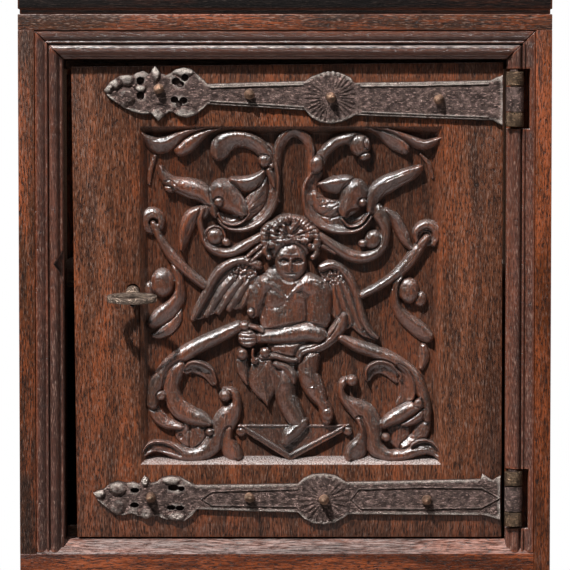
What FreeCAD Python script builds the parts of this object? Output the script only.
import FreeCAD, Part
import math
import os

# A narrow court cupboard in oak: a moulded frame with one carved door on wrought strap hinges,
# on an open stand with a low shelf.
# Millimetres. +X is the right side seen from the front, +Y runs into the cupboard, +Z is up.
# The origin is on the floor, under the middle of the outer box.

# Overall sizes and the levels that the body is built from, bottom to top
BODY_WIDTH = 530.0
BODY_DEPTH = 372.0
STAND_HEIGHT = 588.0
WAIST_THICKNESS = 24.0
SILL_FRONT_HEIGHT = 35.0
SILL_RISE = 13.0
OPENING_HEIGHT = 481.0
TOP_RAIL_HEIGHT = 44.5
CORNICE_HEIGHT = 40.5
TOP_THICKNESS = 14.0
TOP_OVERHANG = 28.0

# General working values
OVERRUN = 5.0
FIT = 0.01
JOINT_CLEARANCE = 0.2
MORTISE_END_CLEARANCE = 1.0

# Front frame
STILE_WIDTH = 44.5
FRAME_DEPTH = 62.0
REBATE_DEPTH = 16.0
MOULDING_WIDTH = 28.5
RAIL_TENON_LENGTH = 30.0
RAIL_TENON_HEIGHT = 18.0
STILE_TENON_WIDTH = 20.0
STILE_TENON_LENGTH = 10.0
TENON_THICKNESS = 12.0

# Moulding section: depths below the frame's face, and stations as shares of the width
MOULDING_EDGE_DEPTH = 1.5
MOULDING_COVE_DEPTH = 4.5
MOULDING_FILLET_DEPTH = 2.5
MOULDING_QUIRK_DEPTH = 6.5
MOULDING_OVOLO_DEPTH = 3.0
MOULDING_OVOLO_END_DEPTH = 9.0
MOULDING_LIP_DEPTH = 10.5
COVE_END_SHARE = 0.42
FILLET_END_SHARE = 0.48
QUIRK_SHARE = 0.51
OVOLO_START_SHARE = 0.54
OVOLO_MIDDLE_SHARE = 0.72
OVOLO_END_SHARE = 0.88
LIP_START_SHARE = 0.91

# Side walls and back
REAR_POST_WIDTH = 44.0
REAR_POST_DEPTH = 30.0
SIDE_RAIL_THICKNESS = 26.0
SIDE_RAIL_SETBACK = 3.0
SIDE_TOP_RAIL_HEIGHT = 60.0
SIDE_BOTTOM_RAIL_HEIGHT = 70.0
SIDE_TENON_LENGTH = 20.0
SIDE_TENON_THICKNESS = 10.0
SIDE_TENON_SHOULDER = 12.0
PANEL_THICKNESS = 9.0
PANEL_FIELD_RISE = 4.0
PANEL_BEVEL = 22.0
PANEL_MARGIN = 8.0
GROOVE_DEPTH = 7.0
GROOVE_CLEARANCE = 0.3
BACK_BOARD_THICKNESS = 12.0
BACK_REBATE_WIDTH = 14.0
BACK_BOARD_COUNT = 3
BACK_BOARD_GAP = 0.8
REAR_RAIL_HEIGHT = 60.0

# Inner shelf
SHELF_LEVEL = 250.0
SHELF_THICKNESS = 16.0
SHELF_SETBACK = 70.0
BEARER_THICKNESS = 14.0
BEARER_HEIGHT = 22.0

# Cornice and top
CORNICE_QUIRK_HEIGHT = 5.0
CORNICE_QUIRK_DEPTH = 6.0
CORNICE_FILLET_HEIGHT = 10.0
CORNICE_COVE_SIZE = 18.0
CORNICE_STEP = 2.0
TOP_EDGE_RADIUS = 6.0

# Waist board
WAIST_OVERHANG = 14.0
WAIST_EDGE_RADIUS = 10.0

# Stand
STAND_POST = 44.0
STAND_RAIL_THICKNESS = 24.0
STAND_TOP_RAIL_HEIGHT = 80.0
STAND_LOW_RAIL_HEIGHT = 52.0
STAND_LOW_RAIL_LEVEL = 96.0
STAND_TENON_LENGTH = 16.0
STAND_TENON_THICKNESS = 9.0
STAND_TENON_SHOULDER = 8.0
SHELF_BOARD_THICKNESS = 18.0
PEG_RADIUS = 4.0
PEG_SIDES = 8
PEG_CLEARANCE = 0.05

# Turned part of the front stand posts: radii and heights
TURNING_MARGIN = 12.0
TURNING_RING_RADIUS = 21.0
TURNING_RING_HEIGHT = 9.0
TURNING_NECK_RADIUS = 13.0
TURNING_NECK_HEIGHT = 12.0
TURNING_BULB_RADIUS = 20.5
BEAD_FLAT_SHARES = [0.3, 0.7]
TURNING_SHARES = [(0.98, 0.16), (0.92, 0.4), (0.61, 0.82)]

# Door board: size, the gaps that its sag leaves, and the sunk carved field
DOOR_SETBACK = 15.0
DOOR_THICKNESS = 24.0
DOOR_GAP_TOP = 3.0
DOOR_GAP_BOTTOM = 2.0
DOOR_GAP_HINGE = 3.2
DOOR_GAP_FREE_TOP = 7.5
DOOR_GAP_FREE_BOTTOM = 12.0
DOOR_SAG = 4.5
FIELD_LEFT_MARGIN = 75.5
FIELD_RIGHT_MARGIN = 63.5
FIELD_TOP_MARGIN = 67.0
FIELD_BOTTOM_MARGIN = 75.0
FIELD_DEPTH = 11.0
FIELD_BEVEL = 7.5

# Door fittings of wood
BATTEN_HEIGHT = 52.0
BATTEN_THICKNESS = 14.0
BATTEN_END_GAP = 20.5
STOP_SIZE = 10.0
STOP_CLEARANCE = 0.4
STOP_END_CLEARANCE = 0.5

# Strap hinges
STRAP_THICKNESS = 3.0
BARREL_RADIUS = 9.0
BARREL_OFFSET = 8.0
BARREL_HEIGHT = 54.5
BARREL_MIDDLE_HEIGHT = 24.6
KNUCKLE_GAP = 0.4
PIN_RADIUS = 3.2
PIN_CLEARANCE = 0.05
PIN_HEAD_RADIUS = 5.0
PIN_HEAD_HEIGHT = 1.6
STRAP_END_CLEARANCE = 1.5
ROSETTE_RISE = 2.2
ROSETTE_TOP_SHARE = 0.72
SPIKE_WIDTH = 9.0
SPIKE_HEIGHT = 14.0
SPIKE_OFFSET = 3.0
SPIKE_END = 4.0
NOTCH_WIDTH = 24.5
NOTCH_CLEARANCE = 2.5
UPPER_HINGE_DROP = 39.7
LOWER_HINGE_LEVEL = 42.0

# Forged nails with hammered domed heads and square shanks
NAIL_HEAD_RADIUS = 5.4
NAIL_HEAD_HEIGHT = 3.6
NAIL_HEAD_FACETS = 10
NAIL_HEAD_SHARES = [(1.0, 0.0), (0.92, 0.4), (0.62, 0.82), (0.2, 1.0)]
NAIL_SHANK_WIDTH = 3.6
NAIL_CLEARANCE = 0.05

# Lock and key
LOCK_AXIS_FROM_OPENING = 68.5
LOCK_AXIS_LEVEL = 250.0
LOCK_PLATE_THICKNESS = 2.0
LOCK_PLATE_HEIGHT = 84.0
LOCK_CAP_DEPTH = 21.0
LOCK_CAP_HEIGHT = 62.0
LOCK_WALL = 2.0
LOCK_RIGHT_REACH = 46.0
LOCK_EDGE_GAP = 0.5
BOLT_HEIGHT = 13.0
BOLT_THICKNESS = 8.0
BOLT_THROW = 20.0
BOLT_CLEARANCE = 0.4
BOLT_TAIL_OVERLAP = 1.0
BOLT_RISE = 5.6
TALON_WIDTH = 21.0
TALON_DEPTH = 9.0
STRIKE_DEPTH = 16.0
STRIKE_CLEARANCE = 1.5
GUIDE_WIDTH = 6.0
GUIDE_BIT_CLEARANCE = 3.0
SPRING_THICKNESS = 0.8
SPRING_WIDTH = 12.0
SPRING_BOW = 5.0
SPRING_LENGTH = 36.0
KEY_STEM_RADIUS = 4.0
KEY_TIP_RADIUS = 2.5
KEY_REACH = 40.0
KEY_COLLAR_RADIUS = 7.0
KEY_COLLAR_LENGTH = 3.0
KEY_COLLAR_COUNT = 2
KEY_BOW_LENGTH = 26.0
KEY_BOW_WIDTH = 50.0
KEY_BOW_WIRE = 5.0
KEY_BOW_END_RADIUS = 9.0
KEY_BIT_RADIUS = 13.0
KEY_BIT_THICKNESS = 3.6
KEY_BIT_LENGTH = 7.0
KEYHOLE_RADIUS = 6.5
KEYHOLE_SLOT = 5.4
KEYHOLE_DROP = 16.0

# Carving: heights over the sunk ground, and the ridged section of a stem
RELIEF_HEIGHT = 10.5
RELIEF_LOW = 6.5
HEAD_RISE = 13.0
MIN_TIP_WIDTH = 1.6
BOSS_SIDES = 8
BOSS_TOP_SHARE = 0.72

# Where these things lie in the picture, in picture points
OPENING_WIDTH_POINTS = 441.0
CENTRE_POINT_X = 285.0
OPENING_TOP_POINT_Y = 59.0
HINGE_POINT_X = 513.5
UPPER_HINGE_POINT_Y = 98.7
LOWER_HINGE_POINT_Y = 498.0
FIELD_LEFT_POINT_X = 140.0
FIELD_TOP_POINT_Y = 126.0
FIELD_WIDTH_POINTS = 302.0
FIELD_HEIGHT_POINTS = 339.0

# Levels and planes worked out from the sizes above
WAIST_BOTTOM = STAND_HEIGHT
BODY_BOTTOM = WAIST_BOTTOM + WAIST_THICKNESS
SILL_FRONT = BODY_BOTTOM + SILL_FRONT_HEIGHT
OPENING_BOTTOM = SILL_FRONT + SILL_RISE
OPENING_TOP = OPENING_BOTTOM + OPENING_HEIGHT
LAP_LEVEL = OPENING_TOP + MOULDING_WIDTH
BODY_TOP = OPENING_TOP + TOP_RAIL_HEIGHT
CORNICE_TOP = BODY_TOP + CORNICE_HEIGHT
TOTAL_HEIGHT = CORNICE_TOP + TOP_THICKNESS
HALF_WIDTH = BODY_WIDTH / 2
OPENING_WIDTH = BODY_WIDTH - 2 * STILE_WIDTH
HALF_OPENING = OPENING_WIDTH / 2
HALF_DEPTH = (BODY_DEPTH + TOP_OVERHANG) / 2
FRONT = TOP_OVERHANG - HALF_DEPTH
BACK = HALF_DEPTH
REBATE_Y = FRONT + REBATE_DEPTH
FRAME_BACK = FRONT + FRAME_DEPTH
MOULDING_EDGE_X = HALF_OPENING + MOULDING_WIDTH
CORNICE_DEPTH = REAR_POST_WIDTH
DOOR_FACE = FRONT + DOOR_SETBACK
DOOR_BACK = DOOR_FACE + DOOR_THICKNESS
GROUND = DOOR_FACE + FIELD_DEPTH
STRAP_FACE = DOOR_FACE - STRAP_THICKNESS
HINGE_X = HALF_OPENING + BARREL_OFFSET
HINGE_Y = DOOR_FACE - BARREL_RADIUS
UPPER_HINGE_Z = OPENING_TOP - UPPER_HINGE_DROP
LOWER_HINGE_Z = OPENING_BOTTOM + LOWER_HINGE_LEVEL
LOCK_X = LOCK_AXIS_FROM_OPENING - HALF_OPENING
LOCK_Z = OPENING_BOTTOM + LOCK_AXIS_LEVEL
BATTEN_WIDTH = OPENING_WIDTH - 2 * BATTEN_END_GAP
STOP_LENGTH = OPENING_WIDTH - 2 * STOP_END_CLEARANCE
FIELD_WIDTH = OPENING_WIDTH - FIELD_LEFT_MARGIN - FIELD_RIGHT_MARGIN
FIELD_HEIGHT = OPENING_HEIGHT - FIELD_TOP_MARGIN - FIELD_BOTTOM_MARGIN
POINT = OPENING_WIDTH / OPENING_WIDTH_POINTS
FIELD_POINT_X = FIELD_WIDTH / FIELD_WIDTH_POINTS
FIELD_POINT_Z = FIELD_HEIGHT / FIELD_HEIGHT_POINTS


def vector(x, y, z):
    return FreeCAD.Vector(x, y, z)


def box(x0, x1, y0, y1, z0, z1):
    """A box between two corners."""
    return Part.makeBox(x1 - x0, y1 - y0, z1 - z0, vector(x0, y0, z0))


def prism(points, direction):
    """A solid swept from a flat outline of corner points."""
    wire = Part.makePolygon(points + points[:1])
    return Part.Face(wire).extrude(direction)


def prism_along_x(outline_yz, x0, x1):
    return prism([vector(x0, y, z) for y, z in outline_yz], vector(x1 - x0, 0, 0))


def prism_along_y(outline_xz, y0, y1):
    return prism([vector(x, y0, z) for x, z in outline_xz], vector(0, y1 - y0, 0))


def prism_along_z(outline_xy, z0, z1):
    return prism([vector(x, y, z0) for x, y in outline_xy], vector(0, 0, z1 - z0))


def rod(radius, start, end):
    """A round bar between two points."""
    run = end.sub(start)
    return Part.makeCylinder(radius, run.Length, start, run)


def ring_points(sides, radius, x, y, z):
    """Corners of an upright many-sided ring that faces the front."""
    points = []
    for index in range(sides):
        angle = 2 * math.pi * (index + 0.5) / sides
        points.append(vector(x + radius * math.cos(angle), y, z + radius * math.sin(angle)))
    return points


def faceted_bar(sides, radius, x, y0, y1, z):
    """A whittled or forged bar with flat sides, lying front to back."""
    return prism(ring_points(sides, radius, x, y0, z), vector(0, y1 - y0, 0))


def fused(shapes):
    whole = shapes[0]
    if len(shapes) > 1:
        whole = shapes[0].multiFuse(shapes[1:])
    return whole.removeSplitter()


def grown(x0, x1, y0, y1, z0, z1, by):
    """A box with a clearance added on every side."""
    return box(x0 - by, x1 + by, y0 - by, y1 + by, z0 - by, z1 + by)


def stretches_wire(stretches, place):
    """An outline made of lines (two points), arcs (three) and smooth curves (more)."""
    edges = []
    for stretch in stretches:
        points = [place(x, y) for x, y in stretch]
        if len(points) == 2:
            edges.append(Part.LineSegment(points[0], points[1]).toShape())
        elif len(points) == 3:
            edges.append(Part.Arc(points[0], points[1], points[2]).toShape())
        else:
            curve = Part.BSplineCurve()
            curve.interpolate(points)
            edges.append(curve.toShape())
    return Part.Wire(edges)


# Picture points to places: on the frame, on a hinge's strap, and in the carved field

def point_x(x):
    return (x - CENTRE_POINT_X) * POINT


def point_z(y):
    return OPENING_TOP - (y - OPENING_TOP_POINT_Y) * POINT


def strap_x(x):
    return HINGE_X + (x - HINGE_POINT_X) * POINT


def strap_z(hinge_z, y):
    """A strap's points keep their distance from the middle of its own barrel."""
    middle = UPPER_HINGE_POINT_Y if hinge_z == UPPER_HINGE_Z else LOWER_HINGE_POINT_Y
    return hinge_z - (y - middle) * POINT


def carved_x(x):
    return FIELD_X0 + (x - FIELD_LEFT_POINT_X) * FIELD_POINT_X


def carved_z(y):
    return FIELD_Z1 - (y - FIELD_TOP_POINT_Y) * FIELD_POINT_Z


# Stand

POST_CENTRE_X = HALF_WIDTH - STAND_POST / 2
POST_FRONT_Y = FRONT + STAND_POST / 2
POST_BACK_Y = BACK - STAND_POST / 2
STAND_RAILS = {
    "top": (STAND_HEIGHT - STAND_TOP_RAIL_HEIGHT, STAND_HEIGHT),
    "low": (STAND_LOW_RAIL_LEVEL, STAND_LOW_RAIL_LEVEL + STAND_LOW_RAIL_HEIGHT),
}


def stand_tenon(direction, end, z0, z1, extra):
    """The tenon box of a stand rail at one end; extra is the clearance of its mortise."""
    half = STAND_TENON_THICKNESS / 2
    low = z0 + STAND_TENON_SHOULDER
    high = z1 - STAND_TENON_SHOULDER
    reach = STAND_TENON_LENGTH
    if extra:
        reach = STAND_TENON_LENGTH + MORTISE_END_CLEARANCE
    if direction == "x":
        y = POST_FRONT_Y if end[1] < 0 else POST_BACK_Y
        face = HALF_WIDTH - STAND_POST
        if end[0] < 0:
            return box(-face - reach, -face, y - half - extra, y + half + extra, low - extra, high + extra)
        return box(face, face + reach, y - half - extra, y + half + extra, low - extra, high + extra)
    x = POST_CENTRE_X * end[0]
    if end[1] < 0:
        face = FRONT + STAND_POST
        return box(x - half - extra, x + half + extra, face - reach, face, low - extra, high + extra)
    face = BACK - STAND_POST
    return box(x - half - extra, x + half + extra, face, face + reach, low - extra, high + extra)


def stand_pegs(extra):
    """Oak pegs through every tenon of the stand; extra widens them into their holes."""
    pegs = []
    radius = PEG_RADIUS + extra
    back_post = BACK - STAND_POST
    for z0, z1 in STAND_RAILS.values():
        z = (z0 + z1) / 2
        for side in (-1, 1):
            x = side * (HALF_WIDTH - STAND_POST + STAND_TENON_LENGTH / 2)
            pegs.append(faceted_bar(PEG_SIDES, radius, x, FRONT, FRONT + STAND_POST, z))
            pegs.append(faceted_bar(PEG_SIDES, radius, x, back_post, BACK, z))
    return pegs


def stand_rail(direction, side, z0, z1):
    """One rail of the stand with a tenon at each end."""
    half = STAND_RAIL_THICKNESS / 2
    if direction == "x":
        y = POST_FRONT_Y if side < 0 else POST_BACK_Y
        reach = HALF_WIDTH - STAND_POST
        rail = box(-reach, reach, y - half, y + half, z0, z1)
        ends = [(-1, side), (1, side)]
    else:
        x = POST_CENTRE_X * side
        rail = box(x - half, x + half, FRONT + STAND_POST, BACK - STAND_POST, z0, z1)
        ends = [(side, -1), (side, 1)]
    rail = fused([rail] + [stand_tenon(direction, end, z0, z1, 0) for end in ends])
    if direction == "x":
        rail = rail.cut(Part.Compound(stand_pegs(PEG_CLEARANCE)))
    return rail


def turned_shaft(x, y, z0, z1):
    """The turned part of a front post: beads, necks, a long bulb and a waist, spun about the axis."""
    bottom = z0 + TURNING_RING_HEIGHT
    top = z1 - TURNING_RING_HEIGHT
    low_neck = bottom + TURNING_NECK_HEIGHT
    high_neck = top - TURNING_NECK_HEIGHT
    profile = [(0, z0), (TURNING_NECK_RADIUS, z0)]
    for share in BEAD_FLAT_SHARES:
        profile.append((TURNING_RING_RADIUS, z0 + TURNING_RING_HEIGHT * share))
    profile += [(TURNING_NECK_RADIUS, bottom), (TURNING_NECK_RADIUS, low_neck)]
    for radius_share, level_share in TURNING_SHARES:
        profile.append((TURNING_BULB_RADIUS * radius_share, low_neck + (high_neck - low_neck) * level_share))
    profile += [(TURNING_NECK_RADIUS, high_neck), (TURNING_NECK_RADIUS, top)]
    for share in BEAD_FLAT_SHARES:
        profile.append((TURNING_RING_RADIUS, top + TURNING_RING_HEIGHT * share))
    profile += [(TURNING_NECK_RADIUS, z1), (0, z1)]
    corners = [vector(x + radius, y, z) for radius, z in profile]
    face = Part.Face(Part.makePolygon(corners + corners[:1]))
    return face.revolve(vector(x, y, z0), vector(0, 0, 1), 360)


def stand_post(side_x, side_y):
    """A stand post: square at the rear, turned between square blocks at the front."""
    half = STAND_POST / 2
    x = POST_CENTRE_X * side_x
    y = POST_FRONT_Y if side_y < 0 else POST_BACK_Y
    post = box(x - half, x + half, y - half, y + half, 0, STAND_HEIGHT)
    if side_y < 0:
        z0 = STAND_RAILS["low"][1] + SHELF_BOARD_THICKNESS + TURNING_MARGIN
        z1 = STAND_RAILS["top"][0] - TURNING_MARGIN
        post = post.cut(box(x - half - OVERRUN, x + half + OVERRUN, y - half - OVERRUN, y + half + OVERRUN,
                            z0, z1))
        post = fused([post, turned_shaft(x, y, z0, z1)])
    cuts = []
    for low, high in STAND_RAILS.values():
        cuts.append(stand_tenon("x", (side_x, side_y), low, high, JOINT_CLEARANCE))
        cuts.append(stand_tenon("y", (side_x, side_y), low, high, JOINT_CLEARANCE))
    return post.cut(Part.Compound(cuts + stand_pegs(PEG_CLEARANCE)))


def stand_shelf():
    """The low board, notched round the four posts and lying on the low rails."""
    z0 = STAND_RAILS["low"][1]
    z1 = z0 + SHELF_BOARD_THICKNESS
    inset = (STAND_POST - STAND_RAIL_THICKNESS) / 2
    board = box(inset - HALF_WIDTH, HALF_WIDTH - inset, FRONT + inset, BACK - inset, z0, z1)
    reach = STAND_POST + JOINT_CLEARANCE
    for side in (-1, 1):
        x0, x1 = sorted((side * (HALF_WIDTH + OVERRUN), side * (HALF_WIDTH - reach)))
        board = board.cut(box(x0, x1, FRONT - OVERRUN, FRONT + reach, z0 - OVERRUN, z1 + OVERRUN))
        board = board.cut(box(x0, x1, BACK - reach, BACK + OVERRUN, z0 - OVERRUN, z1 + OVERRUN))
    return board


def edged_board(overhang, z0, z1, radius):
    """A board with a rounded upper edge at the front and both sides."""
    board = box(-HALF_WIDTH - overhang, HALF_WIDTH + overhang, FRONT - overhang, BACK, z0, z1)
    edges = []
    for edge in board.Edges:
        middle = edge.CenterOfMass
        on_top = abs(middle.z - z1) < JOINT_CLEARANCE
        at_back = abs(middle.y - BACK) < JOINT_CLEARANCE
        if on_top and not at_back:
            edges.append(edge)
    return board.makeFillet(radius, edges)


# Front frame

def rail_tenon(side, z_middle, extra):
    """Tenon of a front rail in a stile."""
    y = (REBATE_Y + FRAME_BACK) / 2
    half_t = TENON_THICKNESS / 2 + extra
    half_h = RAIL_TENON_HEIGHT / 2 + extra
    reach = RAIL_TENON_LENGTH + (MORTISE_END_CLEARANCE if extra else 0)
    x0, x1 = sorted((side * HALF_OPENING, side * (HALF_OPENING + reach)))
    return box(x0, x1, y - half_t, y + half_t, z_middle - half_h, z_middle + half_h)


def stile_tenon(side, level, up, extra):
    """Tenon at a stile's end in the rail that it meets."""
    x = side * (HALF_WIDTH + HALF_OPENING) / 2
    y = (REBATE_Y + FRAME_BACK) / 2
    half_w = STILE_TENON_WIDTH / 2 + extra
    half_t = TENON_THICKNESS / 2 + extra
    reach = up * (STILE_TENON_LENGTH + (MORTISE_END_CLEARANCE if extra else 0))
    z0, z1 = sorted((level, level + reach))
    return box(x - half_w, x + half_w, y - half_t, y + half_t, z0, z1)


TOP_TENON_Z = (OPENING_TOP + LAP_LEVEL) / 2
BOTTOM_TENON_Z = (BODY_BOTTOM + SILL_FRONT) / 2


def front_top_rail():
    """The top rail: rebated for the moulding, and lapped over both stiles."""
    rail = fused([
        box(-HALF_OPENING, HALF_OPENING, REBATE_Y, FRAME_BACK, OPENING_TOP, BODY_TOP),
        box(-HALF_WIDTH, HALF_WIDTH, FRONT, FRAME_BACK, LAP_LEVEL, BODY_TOP),
        rail_tenon(-1, TOP_TENON_Z, 0),
        rail_tenon(1, TOP_TENON_Z, 0),
    ])
    for side in (-1, 1):
        rail = rail.cut(stile_tenon(side, LAP_LEVEL, 1, JOINT_CLEARANCE))
    return rail


def front_bottom_rail():
    """The bottom rail: its sill slopes to the front, and the left stile stands on it."""
    slope = [(FRONT, BODY_BOTTOM), (FRONT, SILL_FRONT), (REBATE_Y, OPENING_BOTTOM), (REBATE_Y, BODY_BOTTOM)]
    rail = fused([
        box(-HALF_WIDTH, HALF_OPENING, FRONT, FRAME_BACK, BODY_BOTTOM, SILL_FRONT),
        box(-HALF_OPENING, HALF_OPENING, REBATE_Y, FRAME_BACK, BODY_BOTTOM, OPENING_BOTTOM),
        prism_along_x(slope, -MOULDING_EDGE_X, MOULDING_EDGE_X),
        rail_tenon(1, BOTTOM_TENON_Z, 0),
    ])
    return rail.cut(stile_tenon(-1, SILL_FRONT, -1, JOINT_CLEARANCE))


def stile(side, z0):
    """A front stile, rebated for the moulding and grooved for the side panel."""
    x0, x1 = sorted((side * HALF_OPENING, side * HALF_WIDTH))
    r0, r1 = sorted((side * (HALF_OPENING - OVERRUN), side * MOULDING_EDGE_X))
    post = box(x0, x1, FRONT, FRAME_BACK, z0, LAP_LEVEL)
    post = post.cut(box(r0, r1, FRONT - OVERRUN, REBATE_Y, z0 - OVERRUN, LAP_LEVEL + OVERRUN))
    post = fused([post, stile_tenon(side, LAP_LEVEL, 1, 0)])
    post = post.cut(rail_tenon(side, TOP_TENON_Z, JOINT_CLEARANCE))
    return post.cut(Part.Compound(side_mortises(side) + [panel_groove(side)]))


def left_stile():
    return fused([stile(-1, SILL_FRONT), stile_tenon(-1, SILL_FRONT, -1, 0)])


def right_stile():
    post = stile(1, BODY_BOTTOM).cut(rail_tenon(1, BOTTOM_TENON_Z, JOINT_CLEARANCE))
    holes = [hinge_spike(z, JOINT_CLEARANCE) for z in (UPPER_HINGE_Z, LOWER_HINGE_Z)]
    return post.cut(Part.Compound(holes))


def strike_mortise():
    """The hole in the left stile that takes the thrown bolt."""
    z0 = LOCK_Z + BOLT_RISE - STRIKE_CLEARANCE
    z1 = LOCK_Z + BOLT_RISE + BOLT_HEIGHT + STRIKE_CLEARANCE
    return box(-HALF_OPENING - STRIKE_DEPTH, -HALF_OPENING + OVERRUN,
               BOLT_FRONT - STRIKE_CLEARANCE, BOLT_FRONT + BOLT_THICKNESS + STRIKE_CLEARANCE, z0, z1)


# Applied mouldings round the opening

COVE_START_INDEX = 1
OVOLO_START_INDEX = 6


def moulding_section(place):
    """The moulding's section: cove, fillet, quirk, ovolo and lip, from the frame to the opening."""
    def at(share, depth):
        return place(share * MOULDING_WIDTH, depth)

    cove_middle = COVE_END_SHARE / 2
    outline = [
        at(0, REBATE_DEPTH), at(0, MOULDING_EDGE_DEPTH), at(cove_middle, MOULDING_COVE_DEPTH),
        at(COVE_END_SHARE, MOULDING_FILLET_DEPTH), at(FILLET_END_SHARE, MOULDING_FILLET_DEPTH),
        at(QUIRK_SHARE, MOULDING_QUIRK_DEPTH), at(OVOLO_START_SHARE, MOULDING_OVOLO_DEPTH),
        at(OVOLO_MIDDLE_SHARE, MOULDING_FILLET_DEPTH), at(OVOLO_END_SHARE, MOULDING_OVOLO_END_DEPTH),
        at(LIP_START_SHARE, MOULDING_LIP_DEPTH), at(1, MOULDING_LIP_DEPTH), at(1, REBATE_DEPTH),
    ]
    edges = []
    index = 0
    while index < len(outline):
        start = outline[index]
        if index in (COVE_START_INDEX, OVOLO_START_INDEX):
            edges.append(Part.Arc(start, outline[index + 1], outline[index + 2]).toShape())
            index += 2
        else:
            edges.append(Part.LineSegment(start, outline[(index + 1) % len(outline)]).toShape())
            index += 1
    return Part.Face(Part.Wire(edges))


def mitre_side(side):
    """Everything on the stile's side of the mitre line, as a prism through the frame's depth."""
    low = BODY_BOTTOM
    outline = [(side * MOULDING_EDGE_X, LAP_LEVEL), (side * HALF_OPENING, OPENING_TOP),
               (side * HALF_OPENING, low), (side * MOULDING_EDGE_X, low)]
    return prism_along_y(outline, FRONT - OVERRUN, FRAME_BACK)


def side_moulding(side):
    """A moulding along one stile, mitred at the top and dying on the sloped sill."""
    face = moulding_section(lambda w, d: vector(side * (MOULDING_EDGE_X - w), FRONT + d, BODY_BOTTOM))
    strip = face.extrude(vector(0, 0, LAP_LEVEL - BODY_BOTTOM))
    return strip.common(mitre_side(side)).cut(front_bottom_rail())


# Corners of the worn chip at the lock side, in picture points
CHIP_POINTS = [(70.0, 246.0), (64.0, 248.0), (54.5, 263.0), (60.6, 272.0), (65.0, 286.0), (70.0, 288.0)]
CHIP_DEPTH = 11.0


def left_moulding():
    outline = [(point_x(x), point_z(y)) for x, y in CHIP_POINTS]
    chip = prism_along_y(outline, FRONT - OVERRUN, FRONT + CHIP_DEPTH)
    return side_moulding(-1).cut(chip)


def right_moulding():
    """The hinge side's moulding, notched for both barrels."""
    strip = side_moulding(1)
    half = BARREL_HEIGHT / 2 + NOTCH_CLEARANCE
    for z in (UPPER_HINGE_Z, LOWER_HINGE_Z):
        strip = strip.cut(box(HALF_OPENING - OVERRUN, HALF_OPENING + NOTCH_WIDTH,
                              FRONT - OVERRUN, REBATE_Y + OVERRUN, z - half, z + half))
    return strip


def top_moulding():
    face = moulding_section(lambda w, d: vector(-MOULDING_EDGE_X, FRONT + d, LAP_LEVEL - w))
    strip = face.extrude(vector(2 * MOULDING_EDGE_X, 0, 0))
    outline = [(-MOULDING_EDGE_X, LAP_LEVEL), (MOULDING_EDGE_X, LAP_LEVEL),
               (HALF_OPENING, OPENING_TOP), (-HALF_OPENING, OPENING_TOP)]
    return strip.common(prism_along_y(outline, FRONT - OVERRUN, FRAME_BACK))


# Side walls

SIDE_RAIL_X = HALF_WIDTH - SIDE_RAIL_SETBACK - SIDE_RAIL_THICKNESS / 2
REAR_POST_FRONT = BACK - REAR_POST_DEPTH
SIDE_RAILS = {
    "bottom": (BODY_BOTTOM, BODY_BOTTOM + SIDE_BOTTOM_RAIL_HEIGHT),
    "top": (BODY_TOP - SIDE_TOP_RAIL_HEIGHT, BODY_TOP),
}
SIDE_TENON_SPANS = {
    "bottom": (SIDE_RAILS["bottom"][0] + SILL_FRONT_HEIGHT + SIDE_TENON_SHOULDER / 2,
               SIDE_RAILS["bottom"][1] - SIDE_TENON_SHOULDER),
    "top": (SIDE_RAILS["top"][0] + SIDE_TENON_SHOULDER / 2, OPENING_TOP),
}


def side_tenon(side, name, at_back, extra):
    """Tenon of a side rail in the front stile or in the rear post."""
    z0, z1 = SIDE_TENON_SPANS[name]
    half = SIDE_TENON_THICKNESS / 2 + extra
    x = side * SIDE_RAIL_X
    reach = SIDE_TENON_LENGTH + (MORTISE_END_CLEARANCE if extra else 0)
    if at_back:
        return box(x - half, x + half, REAR_POST_FRONT, REAR_POST_FRONT + reach, z0 - extra, z1 + extra)
    return box(x - half, x + half, FRAME_BACK - reach, FRAME_BACK, z0 - extra, z1 + extra)


def side_mortises(side):
    return [side_tenon(side, name, at_back, JOINT_CLEARANCE)
            for name in SIDE_RAILS for at_back in (False, True)]


def panel_groove(side):
    """The groove that runs round the side panel."""
    half = PANEL_THICKNESS / 2 + GROOVE_CLEARANCE
    x = side * SIDE_RAIL_X
    return box(x - half, x + half, FRAME_BACK - GROOVE_DEPTH, REAR_POST_FRONT + GROOVE_DEPTH,
               SIDE_RAILS["bottom"][1] - GROOVE_DEPTH, SIDE_RAILS["top"][0] + GROOVE_DEPTH)


def side_rail(side, name):
    """A rail between the front stile and the rear post."""
    z0, z1 = SIDE_RAILS[name]
    half = SIDE_RAIL_THICKNESS / 2
    x = side * SIDE_RAIL_X
    rail = fused([box(x - half, x + half, FRAME_BACK, REAR_POST_FRONT, z0, z1),
                  side_tenon(side, name, False, 0), side_tenon(side, name, True, 0)])
    return rail.cut(panel_groove(side))


def side_panel(side):
    """A fielded panel held in the grooves, its raised field to the outside."""
    half = PANEL_THICKNESS / 2
    x = side * SIDE_RAIL_X
    y0 = FRAME_BACK - GROOVE_DEPTH + JOINT_CLEARANCE
    y1 = REAR_POST_FRONT + GROOVE_DEPTH - JOINT_CLEARANCE
    z0 = SIDE_RAILS["bottom"][1] - GROOVE_DEPTH + JOINT_CLEARANCE
    z1 = SIDE_RAILS["top"][0] + GROOVE_DEPTH - JOINT_CLEARANCE
    board = box(x - half, x + half, y0, y1, z0, z1)

    def frame_at(inset, x_plane):
        low = inset + GROOVE_DEPTH
        corners = [vector(x_plane, y0 + low, z0 + low), vector(x_plane, y1 - low, z0 + low),
                   vector(x_plane, y1 - low, z1 - low), vector(x_plane, y0 + low, z1 - low)]
        return Part.makePolygon(corners + corners[:1])

    outer = x + side * half
    field = Part.makeLoft([frame_at(PANEL_MARGIN, outer),
                           frame_at(PANEL_MARGIN + PANEL_BEVEL, outer + side * PANEL_FIELD_RISE)], True, True)
    return fused([board, field])


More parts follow.
